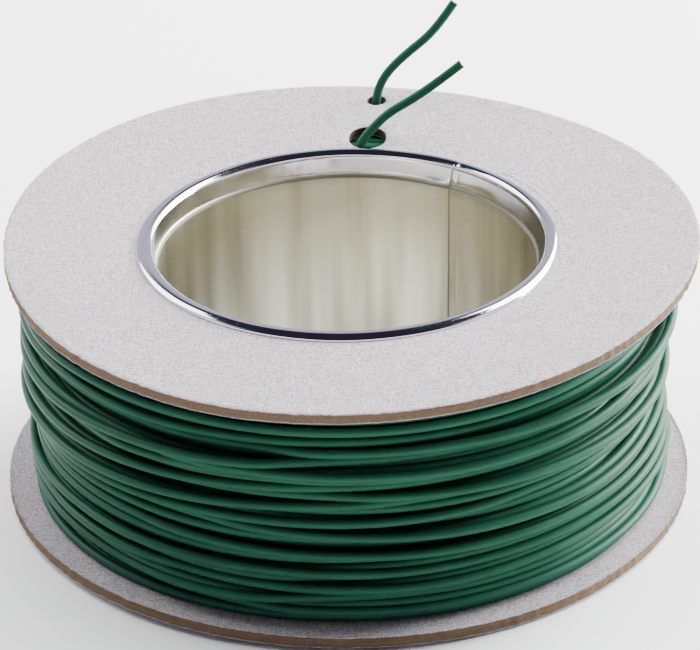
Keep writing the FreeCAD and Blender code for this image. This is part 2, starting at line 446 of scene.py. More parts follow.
def tinplate_material():
    """Bright tinplate: satin with soft upright bands on the wall, polished where it was formed,
    with a real stain along the seam's open edge. It also carries painted light: low on the wall it
    is lightened in bands as a painted reflection of the bright floor, and each ledge is darkened
    with painted shade."""
    colour = tuple(bpy.context.scene.reel_core.colour)
    material, nodes, surface, place = start_material("Bright tinplate", {"Metallic": 1.0})
    formed = nodes.add("ShaderNodeAttribute", attribute_name="formed").outputs["Fac"]
    stain_and_shade = nodes.add("ShaderNodeAttribute", attribute_name="stain_and_shade").outputs["Fac"]
    marks = nodes.add("ShaderNodeGroup", {"Vector": place, "Patch Scale": 55.0, "Scuff Scale": 900.0},
                      node_tree=handling_group())
    bands = nodes.noise(nodes.stretched(place, (75.0, 75.0, 7.0)), 1.0, 2.0, 0.5)
    streaks = nodes.noise(nodes.stretched(place, (420.0, 420.0, 16.0)), 1.0, 3.0, 0.55)
    grain = nodes.noise(nodes.stretched(place, (500.0, 500.0, 3200.0)), 1.0, 2.0, 0.5)
    wall = nodes.mix(nodes.spread(bands, 0.38, 0.62), shade(colour, (0.62, 0.62, 0.55)), shade(colour, 1.16))
    streaked = nodes.mix(nodes.spread(streaks, 0.3, 0.7, 0.0, 0.5), wall, shade(colour, (1.06, 1.06, 1.05)))
    brushed = nodes.mix(nodes.spread(grain, 0.36, 0.64, 0.0, 0.45), streaked,
                        shade(colour, (0.72, 0.71, 0.66)))
    clouded = nodes.mix(nodes.maths("MULTIPLY", marks.outputs["Patches"], 0.30), brushed,
                        shade(colour, (0.84, 0.84, 0.78)))
    depth = nodes.add("ShaderNodeSeparateXYZ", {0: place}).outputs["Z"]
    # Painted reflection: low on the wall, in upright bands, the colour is lightened as if it mirrored the
    # bright floor.
    low = nodes.maths("MULTIPLY", nodes.spread(depth, 0.022, 0.062, 1.0, 0.0),
                      nodes.spread(bands, 0.42, 0.60, 0.15, 0.85))
    with_painted_reflection = nodes.mix(low, clouded, shade(colour, (2.10, 2.12, 2.30)))
    final = nodes.mix(formed, with_painted_reflection, (0.70, 0.69, 0.75, 1.0))
    # A dark, less metallic tint from the attribute: a real stain at the seam's open edge, and painted shade
    # along the ledges.
    stain_and_shade_tint = nodes.mix(stain_and_shade, final, (0.10, 0.09, 0.07, 1.0))
    wall_rough = nodes.maths("ADD", nodes.spread(bands, 0.3, 0.7, 0.24, 0.34),
                             nodes.maths("MULTIPLY", grain, 0.08))
    rim_rough = nodes.maths("ADD", 0.09, nodes.maths("MULTIPLY", marks.outputs["Scuffs"], 0.12))
    metal_rough = nodes.maths(
        "ADD", nodes.maths("MULTIPLY", wall_rough, nodes.maths("SUBTRACT", 1.0, formed)),
        nodes.maths("MULTIPLY", rim_rough, formed))
    rough = nodes.maths("ADD", metal_rough, nodes.maths("MULTIPLY", stain_and_shade, 0.35))
    height = nodes.maths("ADD", nodes.maths("MULTIPLY", streaks, 0.3), nodes.maths("MULTIPLY", grain, 0.7))
    relief = nodes.relief(height, 0.18, 0.02 * MM)
    metallic_share = nodes.spread(stain_and_shade, 0.2, 0.8, 1.0, 0.15)
    connect(nodes, surface, Base_Color=stain_and_shade_tint, Roughness=rough, Metallic=metallic_share, Normal=relief)
    return material


def insulation_material():
    """Dark green extruded plastic: an even satin skin with faint cloudy tone and dusty scuffs."""
    colour = tuple(bpy.context.scene.reel_wire.colour)
    material, nodes, surface, place = start_material(
        "Green insulation", {"IOR": 1.5, "Specular IOR Level": 0.10})
    marks = nodes.add("ShaderNodeGroup", {"Vector": place, "Patch Scale": 70.0, "Scuff Scale": 500.0},
                      node_tree=handling_group())
    toned = nodes.mix(marks.outputs["Patches"], shade(colour, 0.90), shade(colour, 1.10))
    scuffed = nodes.mix(nodes.maths("MULTIPLY", marks.outputs["Scuffs"], 0.10), toned,
                        (0.10, 0.26, 0.18, 1.0))
    skin = nodes.noise(place, 2600.0, 2.0, 0.5)
    relief = nodes.relief(skin, 0.12, 0.03 * MM)
    rough = nodes.maths("ADD", nodes.spread(marks.outputs["Patches"], 0.0, 1.0, 0.38, 0.46),
                        nodes.maths("MULTIPLY", marks.outputs["Scuffs"], 0.10))
    connect(nodes, surface, Base_Color=scuffed, Roughness=rough, Normal=relief)
    return material


def copper_material():
    """Bare copper strands, with a fine tone and roughness that vary at random."""
    colour = tuple(bpy.context.scene.reel_wire.metal)
    material, nodes, surface, place = start_material("Bare copper", {"Metallic": 1.0})
    drawn = nodes.noise(place, 5200.0, 2.0, 0.5)
    toned = nodes.mix(nodes.spread(drawn, 0.35, 0.65), shade(colour, 0.70), shade(colour, 1.05))
    rough = nodes.spread(drawn, 0.3, 0.7, 0.22, 0.42)
    connect(nodes, surface, Base_Color=toned, Roughness=rough)
    return material


# ---------------------------------------------------------------------------------------
# Flanges
# ---------------------------------------------------------------------------------------

def warp(coefficients, angle, radius):
    """How far a flange is bent up: the sum of its waves, growing evenly with the radius."""
    constant, *pairs = coefficients
    height = np.full(np.shape(angle), float(constant))
    for count, (cosine, sine) in enumerate(zip(pairs[0::2], pairs[1::2]), start=1):
        height = height + cosine * np.cos(count * angle) + sine * np.sin(count * angle)
    share = np.clip((radius - WARP_START) / (FLANGE_RADIUS - WARP_START), 0, 1.1)
    return height * MM * share


def hole_distance(x, y, hole):
    """How far points are outside a hole: the distance to its straight middle line, less its radius."""
    centre_x, centre_y, radius, half_straight = hole
    beyond = np.maximum(np.abs(y - centre_y) - half_straight, 0)
    return np.hypot(x - centre_x, beyond) - radius


def hole_edge(direction, hole):
    """A round-ended hole's edge as seen from its centre at each direction, where a ray meets the
    straight side or, past it, the round end."""
    _, _, radius, half_straight = hole
    across = np.abs(np.cos(direction))
    up = np.abs(np.sin(direction))
    side = radius / np.maximum(across, 1e-6)
    end = half_straight * up + np.sqrt(np.maximum(radius ** 2 - (half_straight * across) ** 2, 0))
    return np.where(side * up <= half_straight, side, end)


def pierced_face(radii, turns, holes):
    """Flat points and quads of a ring with holes, and the outline of each hole.

    The ring is a polar grid. Round each hole a block of cells is left out, and rows of cells
    lead from the block's outline to the hole's own, closer together towards the hole.
    """
    angles = np.arange(turns) / turns * 2 * math.pi
    radius, angle = np.meshgrid(radii, angles, indexing="ij")
    points = [np.stack([radius * np.cos(angle), radius * np.sin(angle)], axis=-1).reshape(-1, 2)]
    kept = np.ones((len(radii) - 1, turns), bool)
    quads = []
    outlines = []
    count = len(points[0])
    for hole in holes:
        away = hole_distance(points[0][:, 0], points[0][:, 1], hole).reshape(len(radii), turns)
        near = away < 0.9 * MM
        rows = np.where(near.any(axis=1))[0]
        columns = np.where(near.any(axis=0))[0]
        low, high = rows.min() - 1, rows.max() + 1
        right, left = columns.min() - 1, columns.max() + 1
        kept[low:high, right:left] = False
        outline = np.concatenate([
            high * turns + np.arange(right, left), np.arange(high, low, -1) * turns + left,
            low * turns + np.arange(left, right, -1), np.arange(low, high) * turns + right])
        block = points[0][outline]
        centre = np.array(hole[:2])
        direction = np.arctan2(*(block - centre).T[::-1])
        ray = np.stack([np.cos(direction), np.sin(direction)], axis=-1)
        edge = centre + hole_edge(direction, hole)[:, None] * ray
        steps = 1 - (1 - np.linspace(0, 1, 8)[1:]) ** 1.6
        rows_in = block + steps[:, None, None] * (edge - block)
        points.append(rows_in.reshape(-1, 2))
        added = count + np.arange(rows_in[..., 0].size).reshape(len(steps), -1)
        numbers = np.concatenate([outline[None], added])
        cells = grid_quads(len(numbers), len(outline))
        quads.append(numbers.reshape(-1)[cells])
        outlines.append(numbers[-1])
        count += rows_in[..., 0].size
    cells = grid_quads(len(radii), turns).reshape(len(radii) - 1, turns, 4)[kept]
    quads.insert(0, cells[:, ::-1])
    return np.concatenate(points), np.concatenate(quads), outlines


def slab(radii, turns, holes, low, high, shape, wall_rows=2):
    """A closed ring of some thickness: a pierced face above, its reverse below, and walls round
    the outer edge, the centre hole and the wire holes.

    shape moves the finished points and is given them with their depth, 0 above and 1 below.
    """
    flat, quads, outlines = pierced_face(radii, turns, holes)
    count = len(flat)
    depths = np.linspace(0, 1, wall_rows + 1)
    inner = np.arange(turns)
    outer = (len(radii) - 1) * turns + np.arange(turns)
    layers = [flat, flat]
    depth = [np.zeros(count), np.ones(count)]
    cells = [quads, quads[:, ::-1] + count]
    total = 2 * count
    for loop, outwards in [(outer, True), (inner, False)] + [(outline, False) for outline in outlines]:
        between = len(depths) - 2
        rows = [total + step * len(loop) + np.arange(len(loop)) for step in range(between)]
        rows = [loop] + rows + [loop + count]
        layers += [flat[loop]] * between
        depth += [np.full(len(loop), d) for d in depths[1:-1]]
        total += between * len(loop)
        wall = np.concatenate(rows)[grid_quads(len(rows), len(loop))]
        cells.append(wall[:, ::-1] if outwards else wall)
    flat = np.concatenate(layers)
    depth = np.concatenate(depth)
    height = high + (low - high) * depth
    points = shape(flat[:, 0], flat[:, 1], height, depth)
    return points, np.concatenate(cells)


def flange_radii(fine):
    """The radii of a flange face's rings: close together at the edge and near the wire holes."""
    hub = 57.4 * MM
    near_rim = np.linspace(62.4 * MM, 65.4 * MM, 13 if fine else 3)
    steps = [np.linspace(hub, 61.9 * MM, 4), near_rim,
             np.linspace(65.4 * MM, FLANGE_RADIUS - 2 * MM, 28 if fine else 12)[1:],
             FLANGE_RADIUS - np.array([1.4, 1.0, 0.7, 0.45, 0.25, 0.1, 0.0]) * MM]
    return np.concatenate(steps)


def flange_shape(coefficients, holes, face_up, seed, overhang=0.0):
    """A function that gives a flat layer its warp, its swollen and bent-over edges and its ragged
    outline, and the upper layers a faint arc creased beside the rim."""
    settings = bpy.context.scene.reel_flanges
    side = 1 if face_up else -1
    offset = TOP_OFFSET if face_up else BOTTOM_OFFSET
    swelling = 0.10 if face_up else 0.26
    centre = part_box("top_flange_board" if face_up else "bottom_flange_board")
    centre = (centre[0][2] + centre[1][2]) / 2

    def shape(x, y, height, depth):
        radius = np.hypot(x, y)
        angle = np.arctan2(y, x)
        spread = np.clip((radius - WARP_START) / (FLANGE_RADIUS - WARP_START), 0, 1)
        swollen = np.clip(1 - (FLANGE_RADIUS - radius) / (6 * MM), 0, 1) ** 2
        lifted = height + warp(coefficients, angle, radius) + swelling * swollen * (height - centre)
        lifted = lifted + spread * waves(angle, seed, (5, 7, 9, 11), 0.07 * MM)
        lifted = lifted + spread * waves(angle + 14 * radius, seed + 1, (17, 23, 29, 37), 0.020 * MM)
        from_edge = np.clip(1 - (FLANGE_RADIUS - radius) / (1.3 * MM), 0, 1)
        lifted = lifted - side * settings.droop * from_edge ** 2
        for hole in holes:
            from_hole = np.clip(1 - hole_distance(x, y, hole) / (1.5 * MM), 0, 1)
            lifted = lifted - side * 1.5 * settings.droop * from_hole ** 2
        ragged = waves(angle, seed + 2, range(40, 200, 9), settings.raggedness)
        ragged = ragged + waves(angle, seed + 3, (3, 4, 6), 0.12 * MM)
        torn = waves(angle + 0.7 * depth, seed + 4, range(150, 330, 13), 0.6 * settings.raggedness)
        if face_up:
            along = np.clip((24 - np.abs(np.degrees(angle_from(angle, math.radians(27))))) / 6, 0, 1)
            lifted = lifted + 0.16 * MM * along * bump(radius, 63.9 * MM, 0.35 * MM)
        at_edge = np.clip(1 - (FLANGE_RADIUS - radius) / (0.5 * MM), 0, 1)
        inner_layer = np.clip(4 * depth * (1 - depth), 0, 1)
        radius = radius + at_edge * (ragged + overhang + inner_layer * torn)
        return np.stack([radius * np.cos(angle) + offset * spread, radius * np.sin(angle), lifted], axis=-1)

    return shape


def build_flange(side, paper, board):
    """The three layers of one flange as closed pieces, shaped with one warp."""
    top = side == "top"
    holes = [OUTER_HOLE, INNER_HOLE] if top else []
    coefficients = TOP_WARP if top else BOTTOM_WARP
    seed = 100 if top else 200
    heights = {name: (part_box(f"{side}_flange_{name}")[0][2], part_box(f"{side}_flange_{name}")[1][2])
               for name in ("outer_liner", "board", "inner_liner")}
    looks = {"outer_liner": (paper, "liner_paper", 720 if top else 540, 0.05 * MM, 2),
             "board": (board, "greyboard", 1080, 0.0, 6),
             "inner_liner": (paper, "liner_paper", 540 if top else 720, 0.03 * MM, 2)}
    for name, (material, slot, turns, overhang, rows) in looks.items():
        low, high = heights[name]
        shape = flange_shape(coefficients, holes, top, seed, overhang)
        points, quads = slab(flange_radii(name != "board"), turns, holes, low, high, shape, rows)
        node = f"{side}_flange_{name}"
        piece(f"{node}_warped", points, quads, material, [node])


def build_fibres(side, board):
    """Loose fibres on one flange's cut edge: short bent hairs, each a thin three-sided tube.

    A hair starts on the edge at a random angle and height and bends along a parabola.
    """
    settings = bpy.context.scene.reel_flanges
    top = side == "top"
    random = np.random.default_rng(31 if top else 47)
    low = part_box(f"{side}_flange_board")[0][2]
    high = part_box(f"{side}_flange_board")[1][2]
    coefficients = TOP_WARP if top else BOTTOM_WARP
    count = settings.fibres
    steps = np.linspace(0, 1, 6)
    angle = random.uniform(0, 2 * math.pi, count)
    height = np.where(random.random(count) < 0.5, low, high) + random.normal(0, 0.15 * MM, count)
    length = random.uniform(0.4, 1.9, count) ** 1.5 * MM
    out = random.uniform(0.15, 0.75, count)
    rise = random.normal(-0.35, 0.4, count)
    bend = random.normal(0, 0.8, count)
    offset_x = TOP_OFFSET if top else BOTTOM_OFFSET
    hairs = []
    for number in range(count):
        run = steps * length[number]
        radius = FLANGE_RADIUS - 0.15 * MM + out[number] * run
        sideways = run * (1 - out[number]) + bend[number] * steps ** 2 * length[number]
        turned = angle[number] + sideways / FLANGE_RADIUS
        at_edge = height[number] + warp(coefficients, angle[number], FLANGE_RADIUS)
        lifted = np.maximum(at_edge + rise[number] * run * (0.4 + steps), 0.2 * MM)
        path = np.stack([radius * np.cos(turned) + offset_x, radius * np.sin(turned), lifted], axis=-1)
        up = np.tile([0.0, 0.0, 1.0], (len(path), 1))
        hairs.append(tube(path, random.uniform(0.018, 0.035) * MM, 3, up))
    points, quads, caps = joined(hairs)
    piece(f"{side}_flange_edge_fibres", points, quads, board, (), caps)


class REEL_OT_flanges(bpy.types.Operator):
    """Build both flanges: boards, liners and the loose fibres on their cut edges"""
    bl_idname = "reel.flanges"
    bl_label = "Flanges"

    def execute(self, context):
        paper = liner_material()
        board = board_material()
        for side in ("top", "bottom"):
            build_flange(side, paper, board)
            build_fibres(side, board)
        return {"FINISHED"}


# ---------------------------------------------------------------------------------------
# Core
# ---------------------------------------------------------------------------------------

def end_profile():
    """The bore's side of the core's upper half, from mid-height to the rim's raw edge.

    It is the straight wall, the ledge, a band that opens like a trumpet, and the curl, an arch
    a little squarer than half an ellipse. A third column is 0 on the wall and 1 where the
    sheet was formed.
    """
    bore = bpy.context.scene.reel_core.bore
    curl = RIM_TOP - TOP_FACE
    ledge_low = TOP_FACE - 5.80 * MM
    ledge_high = TOP_FACE - 4.75 * MM
    band = 1.0 * MM
    crown_middle = (bore + 1.1 * MM + RIM_RADIUS) / 2
    crown_half = RIM_RADIUS - crown_middle
    wall = np.stack([np.full(15, bore), np.linspace(MIDDLE, ledge_low - 0.4 * MM, 15)], axis=-1)
    climb = np.linspace(0, 1, 8)
    ledge = np.stack([bore + band * (climb - 0.10 * np.sin(2 * math.pi * climb)),
                      ledge_low + (ledge_high - ledge_low) * climb], axis=-1)
    rise = np.linspace(0.08, 1, 9)
    opening = np.stack([bore + band + (0.12 * rise ** 2) * MM,
                        ledge_high + (TOP_FACE - ledge_high) * rise], axis=-1)
    turn = np.radians(np.linspace(176, 0, 25))
    crown = np.stack([crown_middle + crown_half * np.sign(np.cos(turn)) * np.abs(np.cos(turn)) ** 0.93,
                      TOP_FACE + curl * np.sin(turn) ** 0.93], axis=-1)
    profile = np.concatenate([wall, ledge, opening, crown])
    formed = np.concatenate([np.zeros(len(wall)), np.full(len(ledge), 0.15),
                             np.linspace(0.25, 0.8, len(opening)), np.ones(len(crown))])
    return profile, formed


def mirrored(profile):
    """A profile reflected in the core's mid-height, in reverse order."""
    return np.stack([profile[:, 0], 2 * MIDDLE - profile[:, 1]], axis=-1)[::-1]


def back_of(profile, thickness):
    """A profile moved sideways by a thickness, square to its own direction."""
    along = np.gradient(profile, axis=0)
    along /= np.linalg.norm(along, axis=1, keepdims=True)
    return profile + thickness * np.stack([along[:, 1], -along[:, 0]], axis=-1)


def core_angles(seam):
    """The angles round the core, closer together at the seam and at the creases beside it."""
    even = np.linspace(0, 2 * math.pi, 560, endpoint=False)
    near = seam + np.radians(np.linspace(-22, 9, 130))
    sharp = seam + np.radians(np.concatenate([np.linspace(-3.8, -1.9, 22), np.linspace(-1.0, 1.0, 33)]))
    return np.unique(np.concatenate([even, near, sharp]) % (2 * math.pi))


def seam_lean(height):
    """How far the seam leans round the core at a height: half a degree at 36 mm from the middle."""
    return math.radians(0.5) * (height - MIDDLE) / (36 * MM)


def core_relief(angle, radius, height, formed):
    """How far forming and handling moved the sheet outwards, in metres.

    The wall is a little out of round and has shallow dents. The lap makes a small step at the
    sheet's inner end and a soft fold where the sheet beneath begins. Below the rim there are
    creases beside the seam and at the side where the band buckled.
    """
    settings = bpy.context.scene.reel_core
    to_seam = angle_from(angle, settings.seam)
    on_wall = np.clip(1 - formed * 2, 0, 1)
    from_top = (TOP_FACE - height) / MM
    moved = on_wall * waves(angle, 5, (2, 3, 5, 7, 9), 0.10 * MM)
    moved = moved + on_wall * waves(angle + 3 * height / 0.07, 6, (12, 17, 21), 0.025 * MM)
    past = to_seam + seam_lean(height)
    step = np.where(past > 0, np.exp(-past / math.radians(3.0)), 0)
    moved = moved + 0.20 * MM * step * np.where(radius < 57.5 * MM, 1, 0.25)
    moved = moved + 0.16 * MM * bump(past, 0, math.radians(0.20)) * (radius < 57 * MM)
    strip = np.where(past < 0, np.clip(1 + past / math.radians(2.7), 0, 1), 0)
    moved = moved + 0.11 * MM * strip * on_wall * np.clip((from_top - 14) / 22, 0.2, 1)
    fold = bump(past, math.radians(-2.8), math.radians(0.22))
    moved = moved - 0.05 * MM * fold * on_wall * np.clip((from_top - 14) / 22, 0.3, 1)
    band = bump(from_top, 3.2, 2.4)
    # Below the rim, beside the seam: place and width in degrees, depth and height in millimetres,
    # and share of the dents' depth. Then where the band buckled: place, width and share.
    creases = (
        (-0.9, 1.4, 4.6, 1.1, 1.0), (-5.2, 3.4, 4.9, 1.0, 1.15), (-12.5, 4.5, 4.4, 1.3, 0.9),
        (4.6, 3.4, 5.0, 0.7, -0.7), (-2.6, 0.8, 2.6, 1.8, 0.55))
    buckles = (
        (41.5, 1.6, 0.9), (44.6, 1.2, -0.8), (47.2, 1.0, 0.7), (37.5, 2.0, -0.5), (52.0, 1.3, 0.35))
    for place, width, depth, tall, share in creases:
        aside = bump(to_seam, math.radians(place), math.radians(width))
        moved = moved + settings.dents * share * aside * bump(from_top, depth, tall)
    for place, width, share in buckles:
        aside = bump(to_seam, math.radians(place), math.radians(width))
        moved = moved + 0.6 * settings.dents * share * aside * band
    return moved


def band_flare(angle, radius, height):
    """How far the band opens outwards: little at the left and up to a fifth at the right, with
    the crown squeezed between it and the rim's outer edge."""
    opened = np.clip(1 - (TOP_FACE - height) / (4.75 * MM), 0, 1)
    aside = np.abs(angle_from(angle, math.radians(38))) / math.radians(1)
    leaning = 0.12 + 0.88 * np.clip((88 - aside) / 34, 0, 1)
    from_ledge = np.clip((height - TOP_FACE) / MM / 0.5 + 5.1 / 0.5, 0, 1)
    squeezed = np.clip((RIM_RADIUS - radius) / (RIM_RADIUS - 55.9 * MM), 0, 1)
    share = np.where(height > TOP_FACE - 0.01 * MM, squeezed, 1.0)
    return leaning * (1.75 * opened - 0.60) * MM * from_ledge * share


def build_core(material):
    """The whole core as one closed skin: its profile carried round the axis, with relief.

    The profile runs up the bore's side from the bottom rim's raw edge to the top rim's, and
    back down on the other side, one sheet thickness away.
    """
    settings = bpy.context.scene.reel_core
    upper, formed = end_profile()
    front = np.concatenate([mirrored(upper)[:-1], upper])
    front_formed = np.concatenate([formed[::-1][:-1], formed])
    back = back_of(front, settings.sheet)[::-1]
    profile = np.concatenate([front, back])
    mask = np.concatenate([front_formed, front_formed[::-1]])
    angles = core_angles(settings.seam)
    angle, radius = np.meshgrid(angles, profile[:, 0], indexing="xy")
    height = np.tile(profile[:, 1][:, None], (1, len(angles)))
    shown = np.tile(mask[:, None], (1, len(angles)))
    low_half = height < MIDDLE
    seen = np.where(low_half, 2 * MIDDLE - height, height)
    moved = np.where(low_half, 0.4, 1.0) * core_relief(angle, radius, seen, shown)
    on_crown = np.clip((seen - TOP_FACE) / (RIM_TOP - TOP_FACE), 0, 1)
    flare = np.where(low_half, 0.3, 1.0) * band_flare(angle, radius, seen)
    radius = radius + moved * (1 - 0.9 * on_crown) + flare
    radius = radius + on_crown * waves(angle, 8, (2, 3, 4, 9, 13), 0.05 * MM)
    to_seam = angle_from(angle, settings.seam)
    settle = on_crown * (waves(angle, 9, (3, 5, 8, 13), 0.035 * MM) - 0.06 * MM)
    settle = settle - on_crown * 0.16 * MM * bump(to_seam, math.radians(-1.2), math.radians(1.0))
    height = np.where(low_half, height - settle, height + settle)
    points = np.stack([radius * np.cos(angle), radius * np.sin(angle), height], axis=-1).reshape(-1, 3)
    closed = np.concatenate([np.arange(len(points)), np.arange(len(angles))])
    quads = closed[grid_quads(len(profile) + 1, len(angles))]
    made = piece("tinplate_core", points, quads, material, ["core_barrel"])
    on_bore = radius < 56.4 * MM
    past = to_seam + seam_lean(height)
    stain_and_shade = 0.9 * bump(past, 0, math.radians(0.30)) * (shown < 0.9)
    # Painted shade: a dark band along each ledge, wider at the right, gives the dark line of shade there and
    # dulls the ledge's highlight.
    at_right = np.clip(3.2 - np.abs(np.degrees(angle_from(angle, math.radians(5)))) / 15, 0, 1)
    ledge = TOP_FACE - (5.60 - 0.25 * at_right) * MM
    at_ledge = bump(seen, ledge, (0.42 + 0.22 * at_right) * MM) * on_bore
    beneath = np.where(past < 0, np.clip(1 + past / math.radians(2.8), 0, 1), 0) ** 0.2
    lower = np.clip((TOP_FACE - seen) / MM / 14 - 2.0, 0, 1) * on_bore
    stain_and_shade = np.maximum(np.maximum(stain_and_shade, at_ledge), 0.30 * beneath * lower)
    for name, values in (("formed", shown), ("stain_and_shade", stain_and_shade)):
        attribute = made.data.attributes.new(name, "FLOAT", "POINT")
        attribute.data.foreach_set("value", values.ravel().astype(np.float32))


class REEL_OT_core(bpy.types.Operator):
    """Build the tinplate core with its ledges, seam and curled rims"""
    bl_idname = "reel.core"
    bl_label = "Core"

    def execute(self, context):
        build_core(tinplate_material())
        return {"FINISHED"}


# ---------------------------------------------------------------------------------------
# Winding
# ---------------------------------------------------------------------------------------

SLICES = 360                # directions round the axis at which each turn is worked out
LOOK_AHEAD = 40             # slices that a turn looks back and ahead when it is pulled tight


def core_radius(height, half):
    """The radius of a wire's centre where it lies on the core, which is wider near its ends."""
    from_end = np.minimum(height - BOTTOM_FACE, TOP_FACE - height) - half
    widening = np.clip((7.4 * MM - from_end) / (1.4 * MM), 0, 1)
    return 55.5 * MM + half + 0.95 * MM * widening


def resting_radius(height, below_heights, below_radii, spacing, half):
    """The radius at which a wire rests on the wires below it, slice by slice.

    Two round wires touch when their centres are one spacing apart, so over a neighbour the
    radius is its radius plus the square root of the spacing squared less the height between
    them squared. The largest of these, or the core's own, holds the wire.
    """
    between = height[None, :] - below_heights
    reach = np.sqrt(np.maximum(spacing ** 2 - between ** 2, 0))
    over = np.where(np.abs(between) < spacing, below_radii + reach, 0.0)
    return np.maximum(over.max(axis=0), core_radius(height, half))


def pulled_tight(resting, radius):
    """The line of a wire pulled tight over its resting radii.

    A straight line beside a drum is nearly a parabola in polar terms. The lowest parabolas
    that clear every resting point are found first, and the wire is the lowest line that they
    leave, which spans hollows and follows humps.
    """
    reach = np.arange(-LOOK_AHEAD // 2, LOOK_AHEAD // 2 + 1)
    straight = radius / 2 * np.radians(reach * 360 / SLICES) ** 2
    padded = np.pad(resting, LOOK_AHEAD // 2, mode="edge")
    windows = np.lib.stride_tricks.sliding_window_view(padded, len(reach))
    raised = (windows - straight).max(axis=1)
    padded = np.pad(raised, LOOK_AHEAD // 2, mode="edge")
    windows = np.lib.stride_tricks.sliding_window_view(padded, len(reach))
    return (windows + straight).min(axis=1)


def stiff_smoother(count, stiffness):
    """A matrix that smooths a line as a stiff wire does: it weighs the squared distance from
    the given line against the squared bend, and holds the first two points."""
    bend = np.diff(np.eye(count), 2, axis=0)
    hold = np.zeros(count)
    hold[:2] = 1e8
    weight = np.eye(count) + np.diag(hold)
    return np.linalg.solve(weight + stiffness * bend.T @ bend, weight)


def guide_stray(turns, settings):
    """How far the guide strays from its even sweep: a slow wave that is a running mean of
    random steps."""
    random = np.random.default_rng(settings.seed)
    coarse = random.normal(0, 1, turns * 8)
    knots = np.arange(turns * 8) * SLICES / 8
    stray = np.interp(np.arange(turns * SLICES), knots, coarse)
    kernel = np.hanning(SLICES // 3)
    stray = np.convolve(stray, kernel / kernel.sum(), mode="same")
    return (stray * settings.wander / stray.std()).reshape(turns, SLICES)


def slope_at(height, nudge, below_heights, below_radii, spacing, half):
    """How steeply the resting radius rises with height, measured over twice the nudge."""
    up = resting_radius(height + nudge, below_heights, below_radii, spacing, half)
    down = resting_radius(height - nudge, below_heights, below_radii, spacing, half)
    return (up - down) / (2 * nudge)


def lay_turn(wanted, below, limits, held, smoother, spacing, half):
    """The heights of one turn and of the start of the next.

    The wire starts where the guide is. It slides off wide humps and then down into the valleys
    between the wires below, as far as friction and its own stiffness let it.
    """
    height = np.clip(wanted, *limits)
    for number in range(30):
        narrow = np.clip(slope_at(height, 0.05 * MM, *below, spacing, half), -1.5, 1.5)
        wide = np.clip(slope_at(height, 1.6 * MM, *below, spacing, half), -0.8, 0.8)
        slide = -np.sign(narrow) * np.maximum(np.abs(narrow) - 0.10, 0) * 0.20 * MM
        slide = slide - wide * (0.42 * MM if number < 18 else 0.10 * MM)
        height = np.clip(height + slide, wanted - 3.2 * MM, wanted + 3.2 * MM)
        if held is not None:
            height[:2] = held
        height = np.clip(smoother @ height, *limits)
    return height


def onwards(values, own):
    """Rows for one turn with the next turn's start appended, which lies on this turn too."""
    rows = np.concatenate([values, np.full((1, SLICES), own.min() - 1.0)])
    start = np.concatenate([values[:, :LOOK_AHEAD], own[None, :LOOK_AHEAD]])
    return np.concatenate([rows, start], axis=1)


